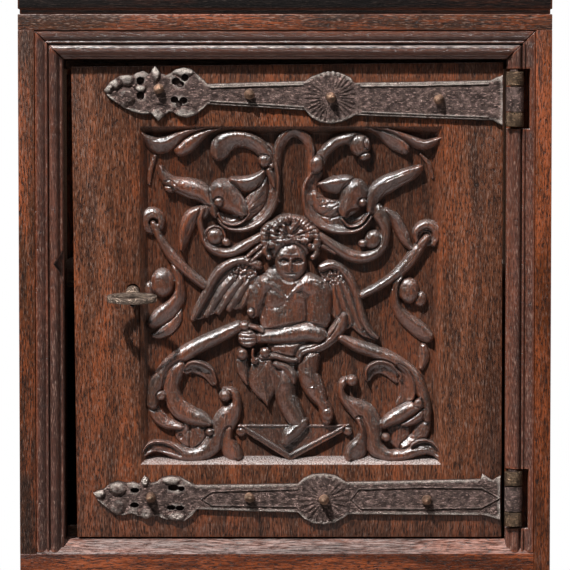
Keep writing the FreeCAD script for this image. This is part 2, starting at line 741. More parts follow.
def rear_post(side):
    """A rear post, rebated for the back boards."""
    x0, x1 = sorted((side * HALF_WIDTH, side * (HALF_WIDTH - REAR_POST_WIDTH)))
    inner = HALF_WIDTH - REAR_POST_WIDTH
    r0, r1 = sorted((side * (inner - OVERRUN), side * (inner + BACK_REBATE_WIDTH)))
    post = box(x0, x1, REAR_POST_FRONT, BACK, BODY_BOTTOM, BODY_TOP)
    rebate = box(r0, r1, BACK - BACK_BOARD_THICKNESS, BACK + OVERRUN,
                 BODY_BOTTOM - OVERRUN, BODY_TOP + OVERRUN)
    return post.cut(Part.Compound([rebate, panel_groove(side)] + side_mortises(side)))


def rear_rail(z0, z1):
    """A rail between the rear posts, in front of the back boards."""
    inner = HALF_WIDTH - REAR_POST_WIDTH
    return box(-inner, inner, REAR_POST_FRONT, BACK - BACK_BOARD_THICKNESS, z0, z1)


def back_boards():
    """Upright boards that lie side by side in the rebate."""
    reach = HALF_WIDTH - REAR_POST_WIDTH + BACK_REBATE_WIDTH - JOINT_CLEARANCE
    pitch = 2 * reach / BACK_BOARD_COUNT
    boards = []
    for index in range(BACK_BOARD_COUNT):
        x0 = -reach + index * pitch + BACK_BOARD_GAP / 2
        x1 = -reach + (index + 1) * pitch - BACK_BOARD_GAP / 2
        boards.append(box(x0, x1, BACK - BACK_BOARD_THICKNESS, BACK, BODY_BOTTOM, BODY_TOP))
    return Part.Compound(boards)


# Inner shelf

SHELF_BOTTOM = OPENING_BOTTOM + SHELF_LEVEL


def shelf_bearer(side):
    x0, x1 = sorted((side * HALF_OPENING, side * (HALF_OPENING + BEARER_THICKNESS)))
    return box(x0, x1, FRAME_BACK, REAR_POST_FRONT, SHELF_BOTTOM - BEARER_HEIGHT, SHELF_BOTTOM)


def inner_shelf():
    reach = HALF_OPENING + BEARER_THICKNESS
    return box(-reach, reach, FRONT + SHELF_SETBACK, REAR_POST_FRONT - JOINT_CLEARANCE,
               SHELF_BOTTOM, SHELF_BOTTOM + SHELF_THICKNESS)


# Cornice

def cornice_section(place):
    """Quirk, flush fillet, cove and top fillet; place takes the projection and the level."""
    cove_start = BODY_TOP + CORNICE_QUIRK_HEIGHT + CORNICE_FILLET_HEIGHT
    cove_end = cove_start + CORNICE_COVE_SIZE
    bend = CORNICE_COVE_SIZE * (1 - math.cos(math.pi / 4))
    points = [
        place(-CORNICE_DEPTH, BODY_TOP), place(-CORNICE_QUIRK_DEPTH, BODY_TOP),
        place(-CORNICE_QUIRK_DEPTH, BODY_TOP + CORNICE_QUIRK_HEIGHT),
        place(0, BODY_TOP + CORNICE_QUIRK_HEIGHT), place(0, cove_start),
    ]
    edges = [Part.LineSegment(a, b).toShape() for a, b in zip(points, points[1:])]
    middle = place(bend, cove_end - bend)
    end = place(CORNICE_COVE_SIZE, cove_end)
    edges.append(Part.Arc(points[-1], middle, end).toShape())
    rest = [end, place(CORNICE_COVE_SIZE + CORNICE_STEP, cove_end),
            place(CORNICE_COVE_SIZE + CORNICE_STEP, CORNICE_TOP), place(-CORNICE_DEPTH, CORNICE_TOP),
            points[0]]
    edges += [Part.LineSegment(a, b).toShape() for a, b in zip(rest, rest[1:])]
    return Part.Face(Part.Wire(edges))


def cornice_front():
    reach = HALF_WIDTH + TOP_OVERHANG
    face = cornice_section(lambda out, z: vector(-reach, FRONT - out, z))
    strip = face.extrude(vector(2 * reach, 0, 0))
    inner = HALF_WIDTH - CORNICE_DEPTH
    rear = FRONT + CORNICE_DEPTH
    outline = [(-reach, FRONT - TOP_OVERHANG), (reach, FRONT - TOP_OVERHANG), (inner, rear), (-inner, rear)]
    return strip.common(prism_along_z(outline, BODY_TOP, CORNICE_TOP))


def cornice_side(side):
    reach = HALF_WIDTH + TOP_OVERHANG
    face = cornice_section(lambda out, z: vector(side * (HALF_WIDTH + out), FRONT - TOP_OVERHANG, z))
    strip = face.extrude(vector(0, BACK - FRONT + TOP_OVERHANG, 0))
    inner = HALF_WIDTH - CORNICE_DEPTH
    outline = [(side * reach, FRONT - TOP_OVERHANG), (side * inner, FRONT + CORNICE_DEPTH),
               (side * inner, BACK), (side * reach, BACK)]
    return strip.common(prism_along_z(outline, BODY_TOP, CORNICE_TOP))


# Door

DOOR_BOTTOM = OPENING_BOTTOM + DOOR_GAP_BOTTOM
DOOR_TOP = OPENING_TOP - DOOR_GAP_TOP
DOOR_RIGHT = HALF_OPENING - DOOR_GAP_HINGE
FIELD_X0 = -HALF_OPENING + FIELD_LEFT_MARGIN
FIELD_X1 = FIELD_X0 + FIELD_WIDTH
FIELD_Z0 = OPENING_BOTTOM + FIELD_BOTTOM_MARGIN
FIELD_Z1 = FIELD_Z0 + FIELD_HEIGHT


def field_recess():
    """The sunk field with its bevelled edges."""
    def frame_at(inset, y):
        x0, x1 = FIELD_X0 + inset, FIELD_X1 - inset
        z0, z1 = FIELD_Z0 + inset, FIELD_Z1 - inset
        corners = [vector(x0, y, z0), vector(x1, y, z0), vector(x1, y, z1), vector(x0, y, z1)]
        return Part.makePolygon(corners + corners[:1])

    return Part.makeLoft([frame_at(0, DOOR_FACE), frame_at(FIELD_BEVEL, GROUND)], True, True)


def keyhole(y0, y1):
    """The round hole with its slot below, as a prism between two planes."""
    hole = rod(KEYHOLE_RADIUS, vector(LOCK_X, y0, LOCK_Z), vector(LOCK_X, y1, LOCK_Z))
    slot = box(LOCK_X - KEYHOLE_SLOT / 2, LOCK_X + KEYHOLE_SLOT / 2, y0, y1, LOCK_Z - KEYHOLE_DROP, LOCK_Z)
    return fused([hole, slot])


def door_board():
    """The door: one wide board, out of square from its sag, with the sunk field."""
    outline = [(-HALF_OPENING + DOOR_GAP_FREE_BOTTOM, DOOR_BOTTOM), (DOOR_RIGHT, DOOR_BOTTOM),
               (DOOR_RIGHT, DOOR_TOP), (-HALF_OPENING + DOOR_GAP_FREE_TOP, DOOR_TOP - DOOR_SAG)]
    board = prism_along_y(outline, DOOR_FACE, DOOR_BACK)
    board = board.cut(field_recess())
    board = board.cut(keyhole(DOOR_FACE - OVERRUN, DOOR_BACK + OVERRUN))
    return board.cut(Part.Compound(nail_shanks(NAIL_CLEARANCE)))


def door_batten(z):
    reach = BATTEN_WIDTH / 2
    half = BATTEN_HEIGHT / 2
    batten = box(-reach, reach, DOOR_BACK, DOOR_BACK + BATTEN_THICKNESS, z - half, z + half)
    return batten.cut(Part.Compound(nail_shanks(NAIL_CLEARANCE)))


def door_stops():
    """Strips behind the door's top and bottom edges that it closes against."""
    reach = STOP_LENGTH / 2
    y0 = DOOR_BACK + STOP_CLEARANCE
    return Part.Compound([
        box(-reach, reach, y0, y0 + STOP_SIZE, OPENING_BOTTOM, OPENING_BOTTOM + STOP_SIZE),
        box(-reach, reach, y0, y0 + STOP_SIZE, OPENING_TOP - STOP_SIZE, OPENING_TOP),
    ])


# Strap hinges. Outlines are stretches in picture points, from the tip round to the tip.

UPPER_STRAP = [
    [(104.8, 90.0), (110.5, 81.5), (121.0, 74.0)],
    [(121.0, 74.0), (130.0, 75.5), (137.0, 71.5)],
    [(137.0, 71.5), (144.0, 70.5), (150.0, 74.0)],
    [(150.0, 74.0), (155.0, 65.4)],
    [(155.0, 65.4), (161.0, 72.7)],
    [(161.0, 72.7), (169.6, 74.5), (175.7, 68.0)],
    [(175.7, 68.0), (194.0, 68.5), (208.0, 83.6)],
    [(208.0, 83.6), (308.0, 80.5)],
    [(308.0, 80.5), (331.0, 71.0), (354.0, 83.0)],
    [(354.0, 83.0), (490.0, 80.0)],
    [(490.0, 80.0), (502.0, 74.5)],
    [(502.0, 74.5), (502.0, 126.0)],
    [(502.0, 126.0), (492.0, 120.0)],
    [(492.0, 120.0), (354.0, 115.0)],
    [(354.0, 115.0), (331.0, 123.5), (307.0, 110.0)],
    [(307.0, 110.0), (208.0, 104.2)],
    [(208.0, 104.2), (196.0, 116.5), (179.0, 116.0)],
    [(179.0, 116.0), (174.0, 112.5), (169.6, 111.5)],
    [(169.6, 111.5), (158.7, 121.0)],
    [(158.7, 121.0), (152.0, 113.5)],
    [(152.0, 113.5), (143.0, 115.0), (133.0, 111.5)],
    [(133.0, 111.5), (124.0, 108.0), (116.0, 102.0)],
    [(116.0, 102.0), (108.0, 97.0), (104.8, 90.0)],
]
LOWER_STRAP = [
    [(92.7, 492.7), (103.0, 490.0), (109.0, 484.0)],
    [(109.0, 484.0), (117.0, 481.0), (126.0, 483.0)],
    [(126.0, 483.0), (133.0, 482.0), (139.0, 484.0)],
    [(139.0, 484.0), (144.0, 475.7)],
    [(144.0, 475.7), (150.0, 483.0)],
    [(150.0, 483.0), (156.5, 481.5), (162.0, 477.0)],
    [(162.0, 477.0), (179.0, 476.5), (195.0, 485.0)],
    [(195.0, 485.0), (300.0, 483.6)],
    [(300.0, 483.6), (324.0, 473.5), (346.0, 482.0)],
    [(346.0, 482.0), (482.0, 479.0)],
    [(482.0, 479.0), (482.0, 473.0)],
    [(482.0, 473.0), (493.0, 480.0)],
    [(493.0, 480.0), (501.0, 475.0)],
    [(501.0, 475.0), (501.0, 521.0)],
    [(501.0, 521.0), (484.0, 516.0)],
    [(484.0, 516.0), (349.0, 515.0)],
    [(349.0, 515.0), (324.0, 525.5), (298.0, 513.0)],
    [(298.0, 513.0), (197.0, 510.0)],
    [(197.0, 510.0), (184.0, 522.0), (169.6, 521.0)],
    [(169.6, 521.0), (157.0, 516.5), (145.0, 520.0)],
    [(145.0, 520.0), (131.0, 513.0), (116.0, 517.0)],
    [(116.0, 517.0), (107.0, 509.0), (97.0, 501.0)],
    [(97.0, 501.0), (92.7, 492.7)],
]
# Holes through the finials, from one chiselled end to the other, with their half width
UPPER_PIERCINGS = [((141.0, 80.8), (142.0, 80.8), 3.4), ((140.8, 95.7), (141.8, 95.7), 3.4),
                   ((177.0, 82.0), (184.5, 79.0), 2.9), ((177.0, 101.5), (184.5, 103.5), 2.9)]
LOWER_PIERCINGS = [((132.0, 490.0), (137.0, 491.0), 2.6), ((132.0, 505.4), (137.0, 505.0), 2.6),
                   ((170.0, 488.0), (179.5, 488.5), 3.0), ((170.5, 508.0), (180.0, 508.4), 2.6)]
# Corners of a hole's end: shares of its half width forward and aside
PIERCING_END_SHARES = [(0.0, 1.0), (0.85, 0.55), (0.85, -0.55), (0.0, -1.0)]
UPPER_ROSETTE = (330.6, 97.0, 25.5)
LOWER_ROSETTE = (324.0, 499.4, 24.5)
UPPER_NAILS = [(159.3, 88.5), (249.4, 94.0), (330.6, 97.0), (438.0, 98.8)]
LOWER_NAILS = [(150.3, 497.5), (249.4, 497.5), (324.0, 499.4), (427.0, 500.0)]
ROSETTE_NAIL_INDEX = 2


def nail_places():
    """Centre of each nail, and the plane that its head sits on."""
    places = []
    for hinge_z, nails in ((UPPER_HINGE_Z, UPPER_NAILS), (LOWER_HINGE_Z, LOWER_NAILS)):
        for index, (x, y) in enumerate(nails):
            seat = STRAP_FACE
            if index == ROSETTE_NAIL_INDEX:
                seat = STRAP_FACE - ROSETTE_RISE
            places.append((strap_x(x), strap_z(hinge_z, y), seat))
    return places


def nail_shanks(extra):
    """Square shanks through strap, door and batten; extra widens them into their holes."""
    half = NAIL_SHANK_WIDTH / 2 + extra
    beyond = OVERRUN if extra else 0
    end = DOOR_BACK + BATTEN_THICKNESS + beyond
    return [box(x - half, x + half, seat - beyond, end, z - half, z + half) for x, z, seat in nail_places()]


def nail_head(x, z, seat):
    """A hammered dome: rings of facets from the rim up to a small flat."""
    wires = []
    for across, up in NAIL_HEAD_SHARES:
        ring = ring_points(NAIL_HEAD_FACETS, NAIL_HEAD_RADIUS * across, x, seat - NAIL_HEAD_HEIGHT * up, z)
        wires.append(Part.makePolygon(ring + ring[:1]))
    return Part.makeLoft(wires, True, True)


def domed_nails():
    """Nails with domed heads, clenched flush at the back of the battens."""
    nails = []
    for (x, z, seat), shank in zip(nail_places(), nail_shanks(0)):
        nails.append(fused([nail_head(x, z, seat), shank]))
    return Part.Compound(nails)


def knuckle(z0, z1):
    """One rolled knuckle of a hinge barrel, without its bore."""
    return Part.makeCylinder(BARREL_RADIUS, z1 - z0, vector(HINGE_X, HINGE_Y, z0))


def barrel_bore(z):
    reach = BARREL_HEIGHT / 2 + OVERRUN
    return Part.makeCylinder(PIN_RADIUS + PIN_CLEARANCE, 2 * reach, vector(HINGE_X, HINGE_Y, z - reach))


def piercing(first, last, half_width, z):
    """A long hole with chiselled ends, cut through a strap's finial."""
    run = math.hypot(last[0] - first[0], last[1] - first[1])
    along_x = (last[0] - first[0]) / run * half_width
    along_y = (last[1] - first[1]) / run * half_width

    def at(centre, forward, aside):
        x = centre[0] + forward * along_x - aside * along_y
        y = centre[1] + forward * along_y + aside * along_x
        return vector(strap_x(x), STRAP_FACE - OVERRUN, strap_z(z, y))

    corners = []
    for forward, aside in PIERCING_END_SHARES:
        corners.append(at(last, forward, aside))
    for forward, aside in PIERCING_END_SHARES:
        corners.append(at(first, -forward, -aside))
    return prism(corners, vector(0, STRAP_THICKNESS + 2 * OVERRUN, 0))


def strap(outline, piercings, rosette, z):
    """A strap with its pierced finial, rosette and the two outer knuckles of its barrel."""
    wire = stretches_wire(outline, lambda x, y: vector(strap_x(x), STRAP_FACE, strap_z(z, y)))
    plate = Part.Face(wire).extrude(vector(0, STRAP_THICKNESS, 0))
    middle = BARREL_MIDDLE_HEIGHT / 2
    clear = BARREL_RADIUS + STRAP_END_CLEARANCE
    plate = plate.cut(box(HINGE_X - clear, HINGE_X + clear, STRAP_FACE - OVERRUN, DOOR_FACE + OVERRUN,
                          z - middle - KNUCKLE_GAP, z + middle + KNUCKLE_GAP))
    pieces = [plate]
    for side in (-1, 1):
        z0, z1 = sorted((z + side * (middle + KNUCKLE_GAP), z + side * BARREL_HEIGHT / 2))
        pieces.append(knuckle(z0, z1))
        pieces.append(box(HINGE_X - clear - OVERRUN, HINGE_X, STRAP_FACE, DOOR_FACE, z0, z1))
    x, y, radius = rosette
    centre = vector(strap_x(x), STRAP_FACE, strap_z(z, y))
    pieces.append(Part.makeCone(radius * POINT, radius * POINT * ROSETTE_TOP_SHARE, ROSETTE_RISE,
                                centre, vector(0, -1, 0)))
    holes = [barrel_bore(z)] + nail_shanks(NAIL_CLEARANCE)
    for first, last, half_width in piercings:
        holes.append(piercing(first, last, half_width, z))
    return fused(pieces).cut(Part.Compound(holes))


def hinge_spike(z, extra):
    """The flat spike that holds the middle knuckle in the stile; extra widens it into its hole."""
    x = HINGE_X + SPIKE_OFFSET
    half_w = SPIKE_WIDTH / 2 + extra
    half_h = SPIKE_HEIGHT / 2 + extra
    return box(x - half_w, x + half_w, HINGE_Y, FRAME_BACK + SPIKE_END, z - half_h, z + half_h)


def hinge_eye(z):
    """The middle knuckle with its spike through the stile."""
    middle = BARREL_MIDDLE_HEIGHT / 2
    return fused([knuckle(z - middle, z + middle), hinge_spike(z, 0)]).cut(barrel_bore(z))


def hinge_pin(z):
    """The pin with its flat head on top of the barrel."""
    reach = BARREL_HEIGHT / 2
    shaft = Part.makeCylinder(PIN_RADIUS, 2 * reach + KNUCKLE_GAP, vector(HINGE_X, HINGE_Y, z - reach))
    head = Part.makeCylinder(PIN_HEAD_RADIUS, PIN_HEAD_HEIGHT,
                             vector(HINGE_X, HINGE_Y, z + reach + KNUCKLE_GAP))
    return fused([shaft, head])


# Lock on the door's back: plate, cap, bolt, spring and key

LOCK_LEFT = -HALF_OPENING + DOOR_GAP_FREE_BOTTOM + LOCK_EDGE_GAP
LOCK_RIGHT = LOCK_X + LOCK_RIGHT_REACH
LOCK_PLATE_BACK = DOOR_BACK + LOCK_PLATE_THICKNESS
LOCK_CAP_BACK = LOCK_PLATE_BACK + LOCK_CAP_DEPTH
BOLT_FRONT = LOCK_PLATE_BACK + (LOCK_CAP_DEPTH - LOCK_WALL - BOLT_THICKNESS) / 2
BOLT_BOTTOM = LOCK_Z + BOLT_RISE
BOLT_TOP = BOLT_BOTTOM + BOLT_HEIGHT
GUIDE_X = LOCK_X + KEY_BIT_RADIUS + GUIDE_BIT_CLEARANCE
BOLT_TAIL_X = GUIDE_X + GUIDE_WIDTH + BOLT_TAIL_OVERLAP + BOLT_THROW


def lock_plate():
    plate = box(LOCK_LEFT, LOCK_RIGHT, DOOR_BACK, LOCK_PLATE_BACK,
                LOCK_Z - LOCK_PLATE_HEIGHT / 2, LOCK_Z + LOCK_PLATE_HEIGHT / 2)
    return plate.cut(keyhole(DOOR_BACK - OVERRUN, LOCK_PLATE_BACK + OVERRUN))


def lock_cap():
    """The cap over the works: four walls and a back, with holes for the bolt and the key's tip."""
    half = LOCK_CAP_HEIGHT / 2
    outer = box(LOCK_LEFT, LOCK_RIGHT, LOCK_PLATE_BACK, LOCK_CAP_BACK, LOCK_Z - half, LOCK_Z + half)
    inner = box(LOCK_LEFT + LOCK_WALL, LOCK_RIGHT - LOCK_WALL,
                LOCK_PLATE_BACK - OVERRUN, LOCK_CAP_BACK - LOCK_WALL,
                LOCK_Z - half + LOCK_WALL, LOCK_Z + half - LOCK_WALL)
    bolt_way = grown(LOCK_LEFT - OVERRUN, LOCK_LEFT + LOCK_WALL + OVERRUN, BOLT_FRONT,
                     BOLT_FRONT + BOLT_THICKNESS, BOLT_BOTTOM, BOLT_TOP, BOLT_CLEARANCE)
    tip_way = rod(KEY_TIP_RADIUS + PIN_CLEARANCE, vector(LOCK_X, LOCK_CAP_BACK - LOCK_WALL - OVERRUN, LOCK_Z),
                  vector(LOCK_X, LOCK_CAP_BACK + OVERRUN, LOCK_Z))
    return outer.cut(inner).cut(bolt_way).cut(tip_way)


def bolt_guide():
    """The staple on the plate that the bolt's tail slides through."""
    x0 = GUIDE_X
    x1 = GUIDE_X + GUIDE_WIDTH
    wall = LOCK_WALL + BOLT_CLEARANCE
    outer = box(x0, x1, LOCK_PLATE_BACK, BOLT_FRONT + BOLT_THICKNESS + wall,
                BOLT_BOTTOM - wall, BOLT_TOP + wall)
    way = grown(x0 - OVERRUN, x1 + OVERRUN, BOLT_FRONT, BOLT_FRONT + BOLT_THICKNESS, BOLT_BOTTOM, BOLT_TOP,
                BOLT_CLEARANCE)
    return outer.cut(way)


def lock_bolt():
    """The bolt with the talon notch that the key's bit works in."""
    bolt = box(LOCK_LEFT, BOLT_TAIL_X, BOLT_FRONT, BOLT_FRONT + BOLT_THICKNESS, BOLT_BOTTOM, BOLT_TOP)
    middle = LOCK_X + BOLT_THROW / 2
    talon = box(middle - TALON_WIDTH / 2, middle + TALON_WIDTH / 2, BOLT_FRONT - OVERRUN,
                BOLT_FRONT + BOLT_THICKNESS + OVERRUN, BOLT_BOTTOM - OVERRUN, BOLT_BOTTOM + TALON_DEPTH)
    return bolt.cut(talon)


def bolt_spring():
    """A bowed leaf spring above the bolt, riveted to the plate by its turned-down foot."""
    z = BOLT_TOP + BOLT_CLEARANCE
    y0 = LOCK_PLATE_BACK
    x0 = LOCK_X - SPRING_LENGTH / 2
    x1 = LOCK_X + SPRING_LENGTH / 2
    low = Part.Arc(vector(x0, y0, z + SPRING_BOW), vector(LOCK_X, y0, z), vector(x1, y0, z + SPRING_BOW))
    lift = SPRING_THICKNESS
    high = Part.Arc(vector(x0, y0, z + SPRING_BOW + lift), vector(LOCK_X, y0, z + lift),
                    vector(x1, y0, z + SPRING_BOW + lift))
    left = Part.LineSegment(vector(x0, y0, z + SPRING_BOW), vector(x0, y0, z + SPRING_BOW + lift))
    right = Part.LineSegment(vector(x1, y0, z + SPRING_BOW), vector(x1, y0, z + SPRING_BOW + lift))
    wire = Part.Wire([low.toShape(), right.toShape(), high.toShape(), left.toShape()])
    return Part.Face(wire).extrude(vector(0, SPRING_WIDTH, 0))


KEY_FRONT = DOOR_FACE - KEY_REACH
KEY_SHOULDER = KEY_FRONT + KEY_BOW_LENGTH


def key():
    """The key: a ring bow lying level, collars, a stem, a bit and a thin tip in the cap."""
    def on_axis(y):
        return vector(LOCK_X, y, LOCK_Z)

    bit_front = BOLT_FRONT + (BOLT_THICKNESS - KEY_BIT_LENGTH) / 2
    stem_end = bit_front + KEY_BIT_LENGTH
    stem = rod(KEY_STEM_RADIUS, on_axis(KEY_SHOULDER - KEY_BOW_WIRE / 2), on_axis(stem_end))
    tip = rod(KEY_TIP_RADIUS, on_axis(stem_end - OVERRUN), on_axis(LOCK_CAP_BACK))
    collars = []
    for index in range(KEY_COLLAR_COUNT):
        start = KEY_SHOULDER + KEY_COLLAR_LENGTH * (2 * index)
        collars.append(rod(KEY_COLLAR_RADIUS, on_axis(start), on_axis(start + KEY_COLLAR_LENGTH)))
    bit = box(LOCK_X, LOCK_X + KEY_BIT_RADIUS, bit_front, stem_end,
              LOCK_Z - KEY_BIT_THICKNESS / 2, LOCK_Z + KEY_BIT_THICKNESS / 2)
    ring = key_bow()
    return fused([stem, tip, bit, ring] + collars)


def key_bow():
    """The oval ring of the key: two tight and two flat arcs that run into each other."""
    middle_y = (KEY_FRONT + KEY_SHOULDER) / 2
    half_long = KEY_BOW_WIDTH / 2
    half_short = KEY_BOW_LENGTH / 2
    end_reach = half_long - KEY_BOW_END_RADIUS
    rise = half_short - KEY_BOW_END_RADIUS
    flat_centre = (end_reach ** 2 - rise ** 2) / (2 * rise)
    flat_run = math.hypot(end_reach, flat_centre)

    def oval(inset):
        end_radius = KEY_BOW_END_RADIUS - inset
        join_x = end_reach + end_radius * end_reach / flat_run
        join_y = end_radius * flat_centre / flat_run
        edges = []
        for stretch in (((join_x, -join_y), (half_long - inset, 0), (join_x, join_y)),
                        ((join_x, join_y), (0, half_short - inset), (-join_x, join_y)),
                        ((-join_x, join_y), (inset - half_long, 0), (-join_x, -join_y)),
                        ((-join_x, -join_y), (0, inset - half_short), (join_x, -join_y))):
            places = [vector(LOCK_X + x, middle_y + y, LOCK_Z - KEY_BOW_WIRE / 2) for x, y in stretch]
            edges.append(Part.Arc(places[0], places[1], places[2]).toShape())
        return Part.Face(Part.Wire(edges)).extrude(vector(0, 0, KEY_BOW_WIRE))

    return oval(0).cut(oval(KEY_BOW_WIRE))


# Carving. A ribbon is a row of (x, y, width) in picture points; its section rises to a ridge.

def ribbon(rows, height):
    """A carved stem or leaf: a ridged section carried along its centre line in flat chisel cuts."""
    sections = []
    for index, (x, y, width) in enumerate(rows):
        before = rows[max(index - 1, 0)]
        after = rows[min(index + 1, len(rows) - 1)]
        run = math.hypot(after[0] - before[0], after[1] - before[1])
        wide = max(width, MIN_TIP_WIDTH) * FIELD_POINT_X
        across = vector(after[1] - before[1], 0, after[0] - before[0]).multiply(wide / 2 / run)
        centre = vector(carved_x(x), GROUND, carved_z(y))
        ridge = centre.add(vector(0, -min(height, wide), 0))
        sections.append([centre.sub(across), ridge, centre.add(across)])
    cuts = [sections[0], sections[-1]]
    for (left, ridge, right), (next_left, next_ridge, next_right) in zip(sections, sections[1:]):
        cuts += [[left, ridge, next_ridge], [left, next_ridge, next_left], [ridge, right, next_right],
                 [ridge, next_right, next_ridge], [left, next_left, right], [next_left, next_right, right]]
    faces = [Part.Face(Part.makePolygon(corners + corners[:1])) for corners in cuts]
    solid = Part.Solid(Part.makeShell(faces))
    solid.fix(FIT, FIT, FIT)
    return solid


def boss(x, y, radius, height):
    """A round knob with tool facets, standing on the ground of the field."""
    wires = []
    for share, level in ((1, GROUND), (BOSS_TOP_SHARE, GROUND - height)):
        ring = ring_points(BOSS_SIDES, radius * FIELD_POINT_X * share, carved_x(x), level, carved_z(y))
        wires.append(Part.makePolygon(ring + ring[:1]))
    return Part.makeLoft(wires, True, True)


# Scrolls of the upper half, left and right of the middle
UPPER_SCROLLS = [
    [(143, 138, 7), (160, 142, 9), (182, 136, 10), (208, 131, 8), (233, 132, 12), (252, 141, 14),
     (264, 158, 14), (268, 178, 13), (264, 198, 12), (252, 213, 12), (240, 222, 6)],
    [(187, 148, 14), (205, 142, 12), (222, 150, 16), (216, 162, 8)],
    [(164, 170, 6), (180, 186, 14), (203, 188, 18), (226, 186, 16), (244, 184, 10)],
    [(226, 194, 22), (230, 216, 26)],
    [(211, 194, 7), (211, 212, 7), (202, 230, 8), (206, 246, 8), (220, 253, 8), (238, 250, 7), (243, 238, 6)],
    [(194, 216, 5), (183, 222, 9), (179, 238, 8), (180, 250, 3)],
    [(405, 150, 8), (390, 142, 11), (374, 131, 10), (348, 136, 9), (332, 147, 12), (318, 162, 12),
     (309, 180, 12), (309, 200, 12), (318, 218, 12), (334, 229, 11), (354, 230, 10), (368, 222, 8)],
    [(438, 137, 6), (424, 144, 12), (412, 150, 10)],
    [(364, 150, 14), (350, 160, 12), (343, 172, 10)],
    [(417, 166, 5), (402, 180, 14), (384, 190, 18), (366, 190, 14), (350, 184, 8)],
    [(352, 200, 26), (354, 218, 24)],
    [(369, 189, 7), (373, 206, 8), (387, 218, 8), (388, 232, 8), (382, 246, 9), (366, 250, 8)],
    [(392, 214, 4), (402, 220, 9), (406, 234, 8), (402, 244, 3)],
]
# The two leaves that meet above the figure
CROWN_LEAVES = [
    [(292, 129, 5), (281, 137, 8), (277, 150, 9), (279, 166, 8), (284, 180, 6), (290, 192, 4)],
    [(293, 129, 5), (304, 137, 8), (308, 150, 9), (306, 166, 8), (301, 180, 6), (295, 192, 4)],
    [(316, 156, 7), (320, 170, 9), (318, 178, 5)],
]
# Stems of the side flowers, their forks and buds
FLOWER_STEMS = [
    [(153, 224, 6), (168, 249, 8), (184, 264, 8), (210, 282, 6)],
    [(172, 256, 6), (176, 272, 6), (181, 290, 8), (170, 308, 9), (154, 320, 8), (150, 327, 3)],
    [(181, 300, 6), (176, 318, 7), (167, 335, 3)],
    [(164, 270, 16), (161, 292, 18)],
    [(427, 238, 6), (410, 258, 8), (396, 273, 8), (380, 284, 5)],
    [(400, 274, 6), (396, 292, 7), (400, 308, 9), (414, 320, 9), (430, 334, 4)],
    [(402, 310, 6), (408, 332, 9), (418, 352, 9), (421, 366, 3)],
]
# The great stems and scrolls of the lower half
LOWER_SCROLLS = [
    [(237, 327, 10), (212, 336, 14), (188, 348, 16), (168, 366, 16), (157, 384, 16), (155, 402, 12),
     (160, 418, 8), (176, 428, 6)],
    [(182, 370, 8), (172, 380, 14), (170, 396, 14), (176, 412, 14), (192, 420, 14), (206, 424, 12)],
    [(182, 372, 10), (198, 370, 14), (210, 382, 10), (210, 392, 3)],
    [(224, 388, 6), (236, 396, 7), (236, 410, 12), (228, 430, 16), (214, 448, 16), (192, 456, 14),
     (168, 447, 12), (152, 444, 13), (144, 452, 8)],
    [(238, 420, 7), (230, 444, 8), (236, 458, 16)],
    [(341, 337, 10), (362, 344, 14), (386, 352, 14), (406, 366, 13), (420, 384, 13), (428, 402, 12),
     (428, 420, 10), (420, 436, 8)],
    [(404, 376, 10), (390, 366, 12), (378, 372, 10), (375, 386, 3)],
    [(400, 372, 10), (414, 386, 14), (412, 404, 13), (396, 416, 13), (382, 426, 8)],
    [(362, 378, 6), (346, 376, 8), (343, 390, 9), (356, 406, 14), (364, 424, 18), (366, 442, 16),
     (352, 456, 20)],
    [(372, 400, 8), (382, 420, 12), (382, 440, 12), (392, 454, 14), (412, 454, 12), (430, 450, 9),
     (442, 458, 3)],
]
# The figure's wings, body and limbs, as wide ridged forms
WING_ROWS = [
    [(254, 272, 6), (238, 268, 16), (222, 282, 24), (212, 300, 22), (203, 316, 10)],
    [(322, 266, 6), (338, 272, 20), (349, 290, 26), (356, 312, 24), (366, 336, 10)],
]
BODY_ROWS = [
    [(288, 268, 30), (288, 282, 52), (286, 300, 48), (284, 322, 40), (292, 346, 48)],
    [(321, 284, 18), (324, 304, 20), (320, 336, 20)],
    [(326, 338, 16), (300, 342, 16), (270, 340, 14), (248, 340, 16)],
    [(262, 284, 12), (256, 300, 12), (250, 318, 9)],
    [(352, 322, 10), (344, 340, 12), (322, 350, 12), (298, 358, 8)],
    [(286, 350, 26), (286, 374, 24), (290, 400, 18), (298, 424, 12), (286, 444, 12)],
    [(308, 352, 24), (316, 376, 24), (324, 398, 18), (328, 420, 14)],
    [(262, 362, 30), (268, 384, 26), (268, 404, 8)],
]
BOSSES = [
    (152.5, 219.6, 13.5, RELIEF_LOW), (427.0, 233.0, 13.5, RELIEF_LOW), (358.0, 144.0, 9.0, RELIEF_HEIGHT),
    (363.0, 203.0, 4.5, RELIEF_HEIGHT), (219.0, 202.0, 5.0, RELIEF_HEIGHT),
    (214.0, 238.0, 7.5, RELIEF_HEIGHT), (367.0, 244.0, 8.0, RELIEF_HEIGHT),
    (266.0, 161.0, 5.0, RELIEF_HEIGHT), (409.0, 289.0, 10.5, RELIEF_HEIGHT),
    (242.0, 354.0, 6.5, RELIEF_HEIGHT), (265.0, 352.0, 6.0, RELIEF_HEIGHT),
    (210.0, 433.0, 4.5, RELIEF_HEIGHT),
    (386.0, 439.0, 5.0, RELIEF_HEIGHT), (419.0, 402.0, 4.5, RELIEF_LOW), (241.0, 436.0, 4.0, RELIEF_LOW),
    (347.5, 432.0, 4.5, RELIEF_LOW), (290.0, 262.0, 19.0, HEAD_RISE), (288.0, 238.0, 27.0, RELIEF_HEIGHT),
]
# The three-cornered plinth under the figure's feet
PLINTH_CORNERS = [(240.0, 426.0), (350.0, 426.0), (289.4, 461.0)]


